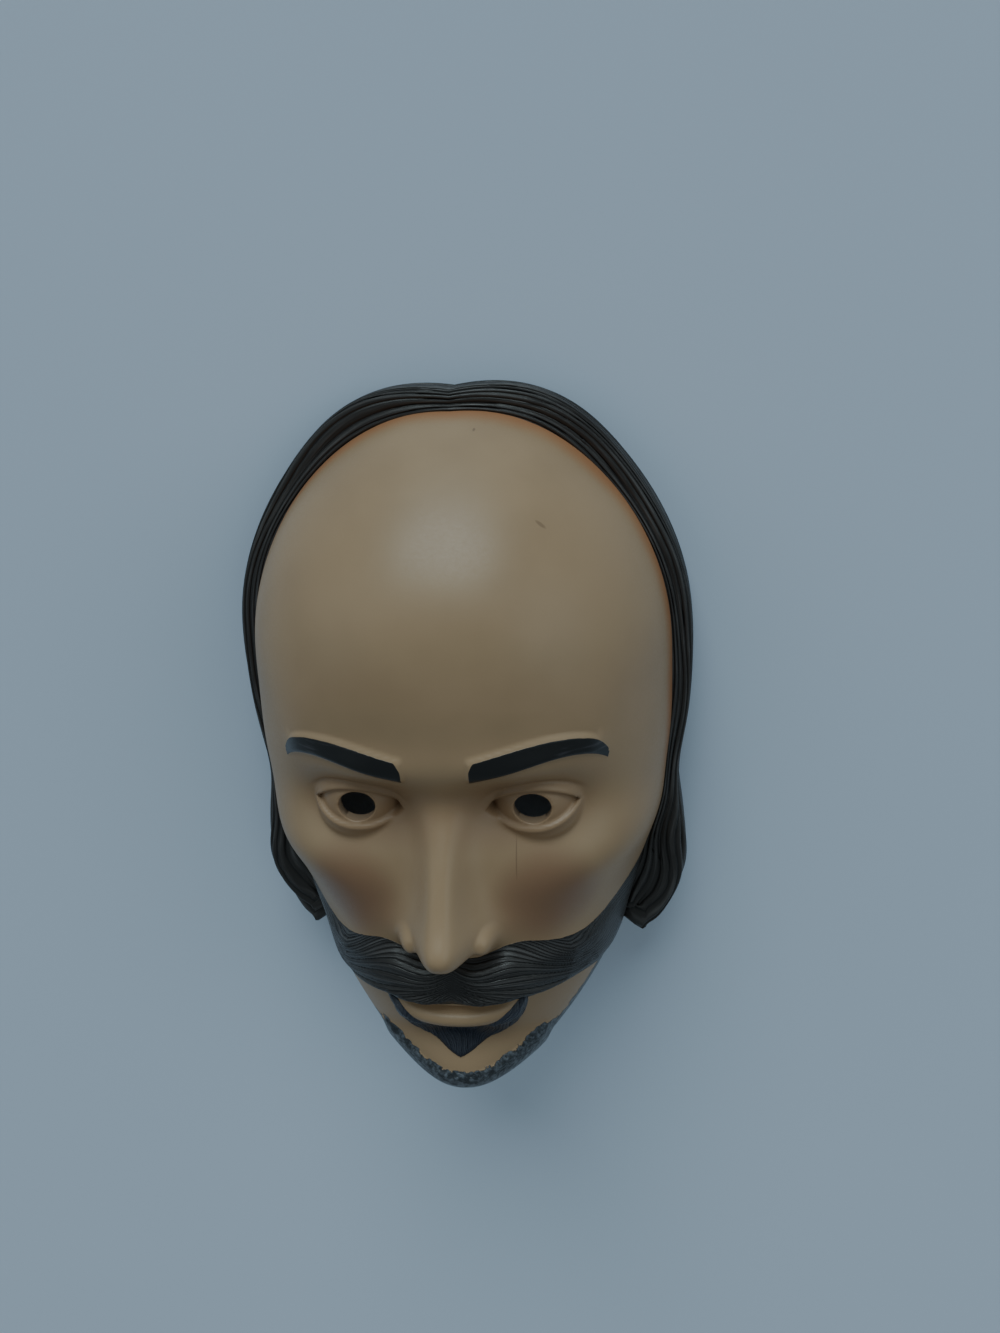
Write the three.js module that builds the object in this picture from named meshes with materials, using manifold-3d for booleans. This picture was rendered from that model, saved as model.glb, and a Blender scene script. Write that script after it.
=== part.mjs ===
// A full-face costume mask of a bearded man, lying on its back rim with the face up.
// It is one moulded plastic shell: a bare high forehead, a roll of combed hair that runs
// round the crown and ends in a flared lock on each side, a wide moustache, a pointed
// tuft under the lip and a narrow beard along the jaw. Two pupils are open holes.
// Units are millimetres. +X is the viewer's right, +Y runs up the face and +Z out of it.
// While the form is worked out, y is 0 under the chin and z is 0 on the plane of the rim.
import * as THREE from "three";
import { mergeVertices } from "three/addons/utils/BufferGeometryUtils.js";
import Module from "manifold-3d";

// Driving sizes of the bare head, before hair
const HEAD_HEIGHT = 291;
const CENTRE_Y = 145.5;
const HALF_WIDTH = 94;
const DEPTH = 100;
const WALL = 3.3;

// Facial proportions, from the usual thirds of a drawn head
const EYE_Y = 146;
const EYE_X = 35;
const BROW_Y = 166;
const NOSE_TIP_Y = 98;
const MOUTH_Y = 57;
const PUPIL_Y = EYE_Y + 0.7;
const PUPIL_RX = 7.4;
const PUPIL_RY = 6.2;

// Mesh of the outer and inner surfaces: a block over the face with rings around it.
// Each column of the rings starts from one or more cells of the block's edge.
const OUTER_MESH = { across: 42, up: 52, cellsPerColumn: 2, skirtRings: 5, hairRings: 11 };
const INNER_MESH = { across: 16, up: 20, cellsPerColumn: 1, skirtRings: 4, hairRings: 5 };
const INNER_SINK = 12;

const clamp = (v, lo = 0, hi = 1) => Math.min(hi, Math.max(lo, v));
const lerp = (a, b, t) => a + (b - a) * t;
const smooth = (lo, hi, v) => {
  const t = clamp((v - lo) / (hi - lo));
  return t * t * (3 - 2 * t);
};
const hump = (dx, dy, rx, ry) => Math.exp(-((dx / rx) ** 2) - (dy / ry) ** 2);
const pair = (x, at, dy, rx, ry) => hump(x - at, dy, rx, ry) + hump(x + at, dy, rx, ry);
const blendMax = (a, b, k) => {
  const h = clamp(0.5 + (0.5 * (a - b)) / k);
  return lerp(b, a, h) + k * h * (1 - h);
};

// A smooth curve through stations [[at, value], ...], as a natural cubic spline
function curveThrough(stations) {
  const x = stations.map((s) => s[0]);
  const y = stations.map((s) => s[1]);
  const n = x.length;
  const bend = new Array(n).fill(0);
  const work = new Array(n).fill(0);
  for (let i = 1; i < n - 1; i++) {
    const share = (x[i] - x[i - 1]) / (x[i + 1] - x[i - 1]);
    const p = share * bend[i - 1] + 2;
    const rise = (y[i + 1] - y[i]) / (x[i + 1] - x[i]) - (y[i] - y[i - 1]) / (x[i] - x[i - 1]);
    bend[i] = (share - 1) / p;
    work[i] = ((6 * rise) / (x[i + 1] - x[i - 1]) - share * work[i - 1]) / p;
  }
  for (let i = n - 2; i >= 0; i--) bend[i] = bend[i] * bend[i + 1] + work[i];
  bend[0] = 0;
  return (at) => {
    const v = clamp(at, x[0], x[n - 1]);
    let i = 0;
    while (i < n - 2 && v > x[i + 1]) i++;
    const h = x[i + 1] - x[i];
    const a = (x[i + 1] - v) / h;
    const b = 1 - a;
    const cubic = (a ** 3 - a) * bend[i] + (b ** 3 - b) * bend[i + 1];
    return a * y[i] + b * y[i + 1] + (cubic * h * h) / 6;
  };
}

// The bare head: level sections whose half width, depth and squareness follow the height
const fullWidth = curveThrough([
  [-2, 86], [20, 86], [40, 84], [60, 83], [80, 83.5], [100, 85.5], [125, 89],
  [150, 93], [200, 97], [225, 97], [250, 96], [285, 92], [301, 90],
]);
const fullDepth = curveThrough([
  [-2, 96], [20, 94], [40, 94], [60, 97.5], [84, 99.5], [105, 98.5], [125, 98],
  [150, 99], [175, 104.5], [200, 108], [225, 109], [250, 106.5], [285, 95], [301, 90],
]);
const squareness = curveThrough([
  [-2, 2.2], [20, 2.3], [60, 2.35], [100, 2.4], [130, 2.45], [200, 2.25], [301, 2.15],
]);

function roundEnd(y) {
  const u = Math.abs(y - CENTRE_Y) / (HEAD_HEIGHT / 2);
  return u >= 1 ? 0 : (1 - u ** 2.6) ** (1 / 2.2);
}

function chinEnd(y) {
  if (y >= 45) return 1;
  const u = (45 - y) / 45.5;
  return u >= 1 ? 0 : (1 - u ** 5) ** (1 / 5);
}

const endDepth = (y) => (y > CENTRE_Y ? roundEnd(y) : chinEnd(y));

function headField(x, y, z) {
  const w = fullWidth(y) * roundEnd(y);
  const d = fullDepth(y) * endDepth(y);
  if (w <= 0.01 || d <= 0.01) return 1;
  const p = squareness(y);
  return (Math.abs(x) / w) ** p + (Math.abs(z) / d) ** p - 1;
}

// Where a ray from the middle of the rim plane meets the bare head
function headPoint(dir) {
  let inside = 20;
  let outside = 260;
  for (let i = 0; i < 34; i++) {
    const r = (inside + outside) / 2;
    const hit = headField(dir.x * r, CENTRE_Y + dir.y * r, dir.z * r);
    if (hit < 0) inside = r;
    else outside = r;
  }
  return new THREE.Vector3(dir.x * inside, CENTRE_Y + dir.y * inside, dir.z * inside);
}

function headNormal(p) {
  const e = 0.2;
  const slope = (dx, dy, dz) =>
    headField(p.x + dx, p.y + dy, p.z + dz) - headField(p.x - dx, p.y - dy, p.z - dz);
  return new THREE.Vector3(slope(e, 0, 0), slope(0, e, 0), slope(0, 0, e)).normalize();
}

// The nose: a ridge that rises to a rounded tip, with a wing on each side
const noseRise = curveThrough([
  [80, 0], [84, 1.5], [86.5, 9], [89, 17.5], [92, 23.5], [96, 26.5], [100, 27], [106, 24.5],
  [115, 19.5], [128, 13], [140, 7], [150, 3], [158, 1], [168, 0],
]);
const noseHalf = curveThrough([
  [80, 9], [88, 11], [97, 12], [105, 10.8], [115, 9.4], [128, 8.6], [140, 9.4], [150, 12.5], [168, 18],
]);

function nose(x, y) {
  if (y < 80 || y > 168) return 0;
  const across = Math.abs(x) / noseHalf(y);
  const ridge = noseRise(y) / (1 + across ** 3);
  const tip = 2 * hump(x, y - NOSE_TIP_Y, 8, 7);
  const wingAt = ((Math.abs(x) - 13.8) / 6.8) ** 2 + ((y - NOSE_TIP_Y + 3.5) / 7.5) ** 2;
  const wing = 13 * Math.exp(-(wingAt ** 1.5)) * smooth(84, 90, y);
  const nostril = 7 * pair(x, 8.2, y - NOSE_TIP_Y + 9.8, 4, 2.4);
  return blendMax(ridge + tip, wing, 3) - 0.75 - nostril;
}

// The eye: a ball between two lids, in its socket
const EYE_HALF = 17.5;
const BALL_RADIUS = 18;
const BALL_Z = 75.5;
const LID = 2.3;

function eyeOpening(ex, ey) {
  const s = Math.abs(ex) / EYE_HALF;
  if (s >= 1) return -1;
  const level = ey - 0.06 * ex;
  const upper = 8.4 * (1 - s ** 2.2) ** 0.85;
  const lower = -7 * (1 - s ** 2.4) ** 0.9;
  return Math.min(upper - level, level - lower);
}

function eyeLayers(x, y, skin) {
  const ex = Math.abs(x) - EYE_X;
  const ey = y - EYE_Y;
  const away = ex * ex + ey * ey;
  if (away > 26 ** 2) return skin;
  const ball = BALL_Z + Math.sqrt(Math.max(0, BALL_RADIUS ** 2 - away));
  const lidBall = BALL_Z + Math.sqrt(Math.max(0, (BALL_RADIUS + LID) ** 2 - away));
  const lids = blendMax(skin, lidBall, 1.5);
  return lerp(lids, Math.min(ball, lids), smooth(-0.4, 0.8, eyeOpening(ex, ey)));
}

// Lips, in relief over the muzzle
function lips(x, y) {
  const across = clamp(Math.abs(x) / 27);
  const line = MOUTH_Y + 0.9 * across * across;
  const fade = (1 - across ** 2.4) ** 0.7;
  const lower = 6 * Math.sin(Math.PI * clamp((line - y) / 12)) ** 0.8;
  const upper = 2.4 * Math.sin(Math.PI * clamp((y - line) / 10)) ** 0.8;
  return (lower + upper) * fade - 2.2 * hump(0, y - line, 1, 1.6) * (1 - across ** 4);
}

// Forward relief of the whole face, in millimetres
function faceRelief(x, y) {
  let h = 4.2 * pair(x, 28, y - BROW_Y, 21, 9) + 0.8 * hump(x, y - BROW_Y, 15, 12);
  h += 1.6 * pair(x, 30, y - 220, 30, 26);
  h -= 2.2 * hump(x, y - 151, 16, 9);
  h -= 10.5 * pair(x, EYE_X, y - EYE_Y, 22, 14);
  h -= 3 * pair(x, 20, y - 149, 9, 10);
  h += 2.5 * pair(x, 40, y - 113, 19, 15);
  h += 3.5 * hump(x, y - 64, 32, 22);
  h -= 4 * hump(x, y - 36, 24, 7);
  h += 5.5 * hump(x, y - 14, 20, 14);
  return h + nose(x, y) + lips(x, y);
}

// Relief square to the head: cheekbones, the hollows under them and the temples
function sideRelief(p) {
  const ax = Math.abs(p.x);
  const bone = 4.5 * hump(ax - 64, p.y - 122, 22, 15);
  const hollow = 4 * hump(ax - 58, p.y - 82, 17, 20);
  const temple = 2.5 * hump(ax - 84, p.y - 180, 18, 24);
  return bone - hollow - temple;
}

// Angle round the head from the middle line of the face, in degrees
const sideAngle = (p) => THREE.MathUtils.radToDeg(Math.atan2(Math.abs(p.x), p.z));

// The moustache sweeps from over the upper lip along the cheek, where its relief fades out.
// Its edges are heights by the angle round the head.
const moustacheTop = curveThrough([
  [0, 83.5], [6, 82.5], [13, 87.5], [19, 87.3], [26, 83],
  [33, 79.5], [39, 79], [46, 83], [57, 93.5], [68, 97],
]);
const moustacheBottom = curveThrough([
  [0, 61.5], [10, 58.5], [19, 57.4], [28, 57], [36, 55.5], [46, 50.5], [56, 46], [68, 58],
]);

function moustache(p) {
  const round = sideAngle(p);
  const half = (moustacheTop(round) - moustacheBottom(round)) / 2;
  const inside = 1 - Math.abs((p.y - moustacheBottom(round)) / half - 1);
  const full = lerp(5, 1.6, smooth(15, 50, round)) * smooth(52, 40, round);
  return full * smooth(0, 0.5, inside) * (1 - 0.3 * hump(round, 0, 3, 1));
}

// The tuft is a rounded wedge that hugs the lower lip, and the beard a band under the jaw
const tuftHalf = curveThrough([
  [26, -1], [28, 3.5], [31, 8], [34, 12.5], [37, 18], [46, 27], [56, 30], [62, 30.5],
]);
const beardTop = curveThrough([
  [0, 20], [10, 21], [18, 24.5], [26, 29.5], [32, 33.5], [37, 35.5], [50, 36],
]);

function tuft(p) {
  const ax = Math.abs(p.x);
  const under = Math.min(45.5 + 0.017 * ax * ax, 61) - p.y;
  return 1.8 * smooth(0, 3, tuftHalf(p.y) - ax) * smooth(0, 2.5, under);
}

function beard(p) {
  const ax = Math.abs(p.x);
  return 1.4 * smooth(0, 2.5, beardTop(ax) - p.y) * smooth(39, 34, ax);
}

const browLine = curveThrough([[13, 168], [28, 172], [44, 174.5], [56, 173], [63, 168.5], [67, 163]]);
const browHalf = curveThrough([[13, 4.3], [28, 4.2], [44, 3.8], [56, 3.4], [63, 2.8], [67, 1.6]]);

function brow(p) {
  const ax = Math.abs(p.x);
  const inside = browHalf(ax) - Math.abs(p.y - browLine(ax));
  return 1.2 * smooth(-0.3, 1, inside) * smooth(12, 14, ax) * smooth(67, 65, ax);
}

// Hair, by the bearing of each ray: 90 is the crown, 0 the temple and -90 the chin
const hairThick = curveThrough([
  [-90, 0], [-56.5, 0], [-53.5, 0.5], [-50.5, 5], [-47, 13], [-43.5, 18.5], [-39.5, 21.3],
  [-33, 21], [-23, 13], [-14, 6.5], [0, 5.5], [33, 9], [60, 10], [75, 12.5], [84, 10], [90, 7.5],
]);
const hairLine = curveThrough([
  [-90, 60], [-70, 50], [-58, 38], [-46, 32], [-30, 33], [0, 31], [33, 26], [60, 20],
  [84, 16], [90, 18],
]);
const chinLift = (bearing) => 44 * smooth(-53, -80, bearing);
const lockShare = (bearing) => smooth(-10, -32, bearing) * smooth(-55, -49, bearing);

// Strands run along the band as lanes, two lanes to a strand, and wander a little.
// Lane 0 is the crease at the skin and the last lane is the rim.
const LANES = 11;

function laneShare(lane, bearing, side) {
  const turn = THREE.MathUtils.degToRad(bearing);
  const lockWave = 0.9 * lockShare(bearing) * Math.sin(8 * turn + 0.6 * side);
  const wave = 0.45 * Math.sin(3.1 * turn + side) + lockWave;
  const moved = lane + wave * Math.sin((Math.PI * lane) / LANES);
  return clamp(moved / LANES) ** 1.2;
}

function hairOffset(lane, share, bearing, side) {
  const lock = lockShare(bearing);
  const ragged = smooth(-30, -50, bearing) * 1.3 * (Math.sin(1.9 * lane + side) + Math.sin(4.3 * lane));
  const thick = Math.max(0, hairThick(bearing + ragged));
  const isHair = smooth(-56.5, -49.5, bearing + ragged);
  const rise = smooth(0, 0.3, share) * lerp(1, 0.95, share);
  const ridge = Math.abs(Math.sin((Math.PI * lane) / 2)) ** 0.7;
  const carve = lerp(1.2, 2.6, lock) * (ridge - 0.7) * isHair * smooth(0, 0.06, share);
  const facing = (Math.PI / 2) * smooth(0.02, 0.4, share);
  return {
    out: thick * rise + carve * Math.sin(facing) - isHair * hump(share, 0, 0.03, 1),
    up: (3 + 4 * lock) * isHair * Math.sin(Math.PI * clamp(share / 0.6)) + carve * Math.cos(facing),
  };
}

// The hollow of the hair keeps clear of the lock's ends
function hollowThick(bearing) {
  const near = [-6, -3, 0, 3, 6].map((turn) => hairThick(Math.min(90, bearing + turn)));
  return Math.max(0, Math.min(...near));
}

// Height of the skin over the bare head, beside a base point
const faceHeight = (base, dx, dy) => {
  const skin = base.z + faceRelief(base.x + dx, base.y + dy);
  return eyeLayers(base.x + dx, base.y + dy, skin) - base.z;
};

// The inner surface lies under the lowest skin nearby, so that steep places keep their wall
const NEARBY = [[0, 0], [4, 0], [-4, 0], [0, 4], [0, -4], [3, 3], [-3, 3], [3, -3], [-3, -3]];

// One point of the outer or inner surface, from its ray and its hair lane
function surfacePoint(ray, lane, share, inner) {
  const base = headPoint(ray.dir);
  const normal = headNormal(base);
  const side = Math.sign(ray.dir.x || 1);
  const turn = THREE.MathUtils.degToRad(ray.bearing);
  const forward = smooth(20, 50, base.z);
  const p = base.clone();
  let out = 0;
  if (inner) {
    const around = NEARBY.map(([dx, dy]) => faceHeight(base, dx, dy));
    p.z += Math.min(...around) * forward;
    p.addScaledVector(normal, sideRelief(base) - WALL);
    out = 0.85 * hollowThick(ray.bearing) * smooth(0.28, 0.6, share);
  } else {
    p.z += faceHeight(base, 0, 0) * forward;
    const relief = moustache(base) + tuft(base) + beard(base) + brow(base);
    p.addScaledVector(normal, sideRelief(base) + relief);
    const hair = hairOffset(lane, share, ray.bearing, side);
    out = hair.out;
    p.z += hair.up;
  }
  p.x += out * Math.cos(turn) * side;
  p.y += out * Math.sin(turn) + 0.2 * Math.max(0, 75 - base.z) * smooth(60, 15, base.y);
  return p;
}

// A place in the unit disc of the mesh plan becomes a ray. The disc's edge is the rim.
function rayOf(qx, qy, sink) {
  const t = Math.hypot(qx, qy);
  const tilt = (t * Math.PI) / 2;
  const plan = t > 1e-9 ? Math.sin(tilt) / t : Math.PI / 2;
  const x = HALF_WIDTH * qx * plan;
  const y = (HEAD_HEIGHT / 2) * qy * plan;
  const bearing = THREE.MathUtils.radToDeg(Math.atan2(y, Math.abs(x)));
  const z = DEPTH * Math.cos(tilt) + chinLift(bearing) * t ** 3 - sink * t ** 8;
  return { dir: new THREE.Vector3(x, y, z).normalize(), bearing };
}

// The place in the disc whose ray passes through a point
function discPlace(x, y, z) {
  const up = y - CENTRE_Y;
  const reach = Math.hypot(x / HALF_WIDTH, up / (HEAD_HEIGHT / 2));
  if (reach < 1e-9) return [0, 0];
  const qx = x / HALF_WIDTH / reach;
  const qy = up / (HEAD_HEIGHT / 2) / reach;
  let low = 0;
  let high = 1;
  for (let i = 0; i < 24; i++) {
    const mid = (low + high) / 2;
    const { dir } = rayOf(qx * mid, qy * mid, 0);
    if (dir.z * Math.hypot(x, up) > z * Math.hypot(dir.x, dir.y)) low = mid;
    else high = mid;
  }
  return [qx * low, qy * low];
}

// How far along a mesh line the skin dips to the hair line
function hairlineShare(from, to, sink) {
  let low = 0;
  let high = 0.97;
  for (let i = 0; i < 22; i++) {
    const mid = (low + high) / 2;
    const ray = rayOf(lerp(from[0], to[0], mid), lerp(from[1], to[1], mid), sink);
    if (headPoint(ray.dir).z > hairLine(ray.bearing)) low = mid;
    else high = mid;
  }
  return low;
}

// The face block: rows and columns in millimetres, closer together over the features,
// drawn in toward the chin and with its corners rounded off
const rowHeight = curveThrough([
  [0, 12], [0.14, 40], [0.31, 66], [0.4, 84], [0.54, 100], [0.66, 132], [0.84, 160], [1, 194],
]);
const columnPlace = curveThrough([[0, 0], [0.24, 10], [0.47, 21], [0.7, 35], [1, 55]]);
const blockHalf = curveThrough([[12, 20], [40, 36], [66, 47], [100, 57], [140, 63], [172, 63], [194, 52]]);
const rowBow = curveThrough([[12, 10], [40, 5], [84, 0], [160, 0], [194, -16]]);

function blockPlace(i, j, mesh) {
  const u = (2 * i) / mesh.across - 1;
  const row = rowHeight(j / mesh.up);
  const x = (Math.sign(u) * columnPlace(Math.abs(u)) * blockHalf(row)) / 55;
  const y = row + rowBow(row) * u * u;
  const p = squareness(y);
  const z = fullDepth(y) * endDepth(y) * (1 - (Math.abs(x) / (fullWidth(y) * roundEnd(y))) ** p) ** (1 / p);
  return discPlace(x, y, z);
}

// The end of a ring column on the rim. Columns crowd together over the locks.
const crowded = curveThrough([[-90, -90], [-64, -58], [-30, -38], [0, -16], [45, 38], [90, 90]]);

function rimPlace(from, share) {
  const even = 360 * share - 90;
  let straight = THREE.MathUtils.radToDeg(Math.atan2(from[1] + 0.22, from[0]));
  if (straight < -90.001) straight += 360;
  const turn = (even + straight) / 2;
  const angle = THREE.MathUtils.degToRad(turn > 90 ? 180 - crowded(180 - turn) : crowded(turn));
  return [Math.cos(angle), Math.sin(angle)];
}

// A whole surface, closed by a fan to a point behind it
function shellForm(mesh, inner) {
  const sink = inner ? INNER_SINK : 0;
  const positions = [];
  const faces = [];
  const add = (p) => positions.push(p.x, p.y, p.z) / 3 - 1;
  const place = (qx, qy) => add(surfacePoint(rayOf(qx, qy, sink), 0, 0, inner));
  const quad = (a, b, c, d, flip) => {
    if (flip) faces.push(a, b, d, b, c, d);
    else faces.push(a, b, c, a, c, d);
  };

  const block = [];
  for (let j = 0; j <= mesh.up; j++)
    for (let i = 0; i <= mesh.across; i++) block.push(place(...blockPlace(i, j, mesh)));
  const at = (i, j) => block[j * (mesh.across + 1) + i];
  for (let j = 0; j < mesh.up; j++)
    for (let i = 0; i < mesh.across; i++)
      quad(at(i, j), at(i + 1, j), at(i + 1, j + 1), at(i, j + 1), i < mesh.across / 2);

  const half = mesh.across / 2;
  const edge = [];
  for (let i = half; i < mesh.across; i++) edge.push([i, 0]);
  for (let j = 0; j < mesh.up; j++) edge.push([mesh.across, j]);
  for (let i = mesh.across; i > 0; i--) edge.push([i, mesh.up]);
  for (let j = mesh.up; j > 0; j--) edge.push([0, j]);
  for (let i = 0; i < half; i++) edge.push([i, 0]);

  const starts = edge.filter((_, e) => e % mesh.cellsPerColumn === 0);
  const columns = starts.map(([i, j], c) => {
    const from = blockPlace(i, j, mesh);
    const to = rimPlace(from, c / starts.length);
    const ray = (t) => rayOf(lerp(from[0], to[0], t), lerp(from[1], to[1], t), sink);
    const line = hairlineShare(from, to, sink);
    const column = [];
    for (let k = 1; k <= mesh.skirtRings; k++)
      column.push(add(surfacePoint(ray((line * k) / mesh.skirtRings), 0, 0, inner)));
    for (let k = 1; k <= mesh.hairRings; k++) {
      const lane = (LANES * k) / mesh.hairRings;
      const share = laneShare(lane, ray(1).bearing, Math.sign(to[0]));
      column.push(add(surfacePoint(ray(lerp(line, 1, share)), lane, share, inner)));
    }
    return column;
  });

  const back = add(new THREE.Vector3(0, CENTRE_Y, -sink));
  const middle = Math.floor(mesh.cellsPerColumn / 2);
  columns.forEach((column, c) => {
    const next = columns[(c + 1) % columns.length];
    const edgeAt = (q) => at(...edge[(c * mesh.cellsPerColumn + q) % edge.length]);
    for (let q = 0; q < mesh.cellsPerColumn; q++)
      faces.push(edgeAt(q), q < middle ? column[0] : next[0], edgeAt(q + 1));
    faces.push(edgeAt(middle), column[0], next[0]);
    for (let k = 0; k + 1 < column.length; k++)
      quad(column[k], column[k + 1], next[k + 1], next[k], false);
    faces.push(column.at(-1), back, next.at(-1));
  });

  const geometry = new THREE.BufferGeometry();
  geometry.setAttribute("position", new THREE.Float32BufferAttribute(positions, 3));
  geometry.setIndex(faces);
  return geometry;
}

// The cutter for one pupil: an upright oval post through the shell
function pupilCutter(side) {
  const post = new THREE.CylinderGeometry(1, 1, 60, 26);
  post.rotateX(Math.PI / 2);
  post.scale(PUPIL_RX, PUPIL_RY, 1);
  post.translate(side * EYE_X, PUPIL_Y, 90);
  return post;
}

const wasm = await Module();
wasm.setup();

function solidFrom(geometry) {
  const bare = geometry.clone();
  bare.deleteAttribute("normal");
  bare.deleteAttribute("uv");
  const merged = mergeVertices(bare, 1e-4);
  return new wasm.Manifold(
    new wasm.Mesh({
      numProp: 3,
      vertProperties: merged.attributes.position.array,
      triVerts: new Uint32Array(merged.index.array),
    }),
  );
}

function geometryFrom(solid) {
  const mesh = solid.getMesh();
  const geometry = new THREE.BufferGeometry();
  geometry.setAttribute("position", new THREE.BufferAttribute(mesh.vertProperties, 3));
  geometry.setIndex(new THREE.BufferAttribute(mesh.triVerts, 1));
  geometry.computeVertexNormals();
  return geometry;
}

let shell = solidFrom(shellForm(OUTER_MESH, false)).subtract(solidFrom(shellForm(INNER_MESH, true)));
for (const side of [-1, 1]) shell = shell.subtract(solidFrom(pupilCutter(side)));

// The finished part is centred over its own footprint
const geometry = geometryFrom(shell);
geometry.computeBoundingBox();
const footprint = geometry.boundingBox.getCenter(new THREE.Vector3());
geometry.translate(-footprint.x, -footprint.y, 0);

const skinPaint = new THREE.MeshStandardMaterial({ color: 0xc9a982, roughness: 0.45, metalness: 0 });
const mask = new THREE.Mesh(geometry, skinPaint);
mask.name = "mask";

const part = new THREE.Group();
part.add(mask);
export default part;
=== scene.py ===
import math

import bmesh
import bpy
import numpy as np
from mathutils import Matrix, Vector


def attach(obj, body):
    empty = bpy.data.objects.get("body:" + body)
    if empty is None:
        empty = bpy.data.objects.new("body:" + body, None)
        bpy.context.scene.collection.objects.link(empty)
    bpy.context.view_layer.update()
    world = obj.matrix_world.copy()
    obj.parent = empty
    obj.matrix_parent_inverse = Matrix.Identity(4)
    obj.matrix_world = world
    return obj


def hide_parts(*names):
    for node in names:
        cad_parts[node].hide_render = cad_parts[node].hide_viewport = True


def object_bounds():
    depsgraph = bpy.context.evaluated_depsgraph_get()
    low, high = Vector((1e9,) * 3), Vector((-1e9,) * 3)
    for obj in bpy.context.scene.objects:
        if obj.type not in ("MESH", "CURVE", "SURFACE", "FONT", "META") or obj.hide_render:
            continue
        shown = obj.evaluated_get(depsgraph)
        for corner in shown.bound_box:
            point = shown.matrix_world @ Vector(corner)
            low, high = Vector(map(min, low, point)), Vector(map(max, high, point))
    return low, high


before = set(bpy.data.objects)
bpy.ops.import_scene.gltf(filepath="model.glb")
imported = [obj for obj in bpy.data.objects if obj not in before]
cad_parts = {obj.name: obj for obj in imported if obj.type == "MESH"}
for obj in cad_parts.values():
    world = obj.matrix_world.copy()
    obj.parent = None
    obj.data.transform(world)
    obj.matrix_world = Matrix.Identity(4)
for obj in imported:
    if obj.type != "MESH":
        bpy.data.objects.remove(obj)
cad_box = [list(map(float, corner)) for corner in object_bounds()]

# Driving sizes of the bare head, in millimetres, as in the solid
HEAD_HEIGHT = 291
CENTRE_Y = 145.5
HALF_WIDTH = 94
DEPTH = 100
WALL = 3.3

# Facial proportions, from the usual thirds of a drawn head
EYE_Y = 146
EYE_X = 35
BROW_Y = 166
NOSE_TIP_Y = 98
MOUTH_Y = 57
PUPIL_Y = EYE_Y + 0.7
PUPIL_RX = 7.4
PUPIL_RY = 6.2

# The worn edge of a pupil: how far it starts outside the hole, then its steps in and down
PUPIL_LIP = 0.5
PUPIL_EDGE = ((0.15, 0.15), (0, 0.45))

# Strands of the hair roll run along the band as lanes, two lanes to a strand.
# The paint of each lock ends at a bearing. A pace is the millimetres that a degree stands
# for along the strands.
LANES = 11
LOCK_END = -50.3
LOCK_PACE = 1.5
HAIR_PACE = 2.2
MOUSTACHE_PACE = 1.5

# Meshes of the two surfaces: cells of the face grid, then rings out to the rim
FACE_CELLS = (90, 110)
OUTER_SKIRT = 24
OUTER_HAIR = 77
INNER_SKIRT = 6
INNER_HAIR = 9

SIDES = (-1, 1)
SHARP_ANGLE = math.radians(75)


# Arithmetic on whole arrays

def lerp(a, b, t):
    return a + (b - a) * t


def smooth(lo, hi, v):
    t = np.clip((v - lo) / (hi - lo), 0, 1)
    return t * t * (3 - 2 * t)


def hump(dx, dy, rx, ry):
    return np.exp(-((dx / rx) ** 2) - (dy / ry) ** 2)


def pair(x, at, dy, rx, ry):
    return hump(x - at, dy, rx, ry) + hump(x + at, dy, rx, ry)


def blend_max(a, b, k):
    h = np.clip(0.5 + 0.5 * (a - b) / k, 0, 1)
    return lerp(b, a, h) + k * h * (1 - h)


def curve_through(*stations):
    """A smooth curve through stations (at, value), as a natural cubic spline."""
    x, y = np.array(stations, float).T
    last = len(x) - 1
    bend = np.zeros(last + 1)
    work = np.zeros(last + 1)
    for i in range(1, last):
        share = (x[i] - x[i - 1]) / (x[i + 1] - x[i - 1])
        p = share * bend[i - 1] + 2
        rise = (y[i + 1] - y[i]) / (x[i + 1] - x[i]) - (y[i] - y[i - 1]) / (x[i] - x[i - 1])
        bend[i] = (share - 1) / p
        work[i] = (6 * rise / (x[i + 1] - x[i - 1]) - share * work[i - 1]) / p
    for i in reversed(range(last)):
        bend[i] = bend[i] * bend[i + 1] + work[i]
    bend[0] = 0

    def value(at):
        v = np.clip(at, x[0], x[-1])
        i = np.clip(np.searchsorted(x, v, side="right") - 1, 0, last - 1)
        h = x[i + 1] - x[i]
        a = (x[i + 1] - v) / h
        b = 1 - a
        cubic = (a ** 3 - a) * bend[i] + (b ** 3 - b) * bend[i + 1]
        return a * y[i] + b * y[i + 1] + cubic * h * h / 6

    return value


# The bare head: level sections whose half width, depth and squareness follow the height

full_width = curve_through(
    (-2, 86), (20, 86), (40, 84), (60, 83), (80, 83.5), (100, 85.5), (125, 89),
    (150, 93), (200, 97), (225, 97), (250, 96), (285, 92), (301, 90))
full_depth = curve_through(
    (-2, 96), (20, 94), (40, 94), (60, 97.5), (84, 99.5), (105, 98.5), (125, 98),
    (150, 99), (175, 104.5), (200, 108), (225, 109), (250, 106.5), (285, 95), (301, 90))
squareness = curve_through(
    (-2, 2.2), (20, 2.3), (60, 2.35), (100, 2.4), (130, 2.45), (200, 2.25), (301, 2.15))


def round_end(y):
    u = np.abs(y - CENTRE_Y) / (HEAD_HEIGHT / 2)
    return np.maximum(0, 1 - u ** 2.6) ** (1 / 2.2)


def chin_end(y):
    u = np.maximum(0, (45 - y) / 45.5)
    return np.maximum(0, 1 - u ** 5) ** (1 / 5)


def end_depth(y):
    return np.where(y > CENTRE_Y, round_end(y), chin_end(y))


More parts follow.
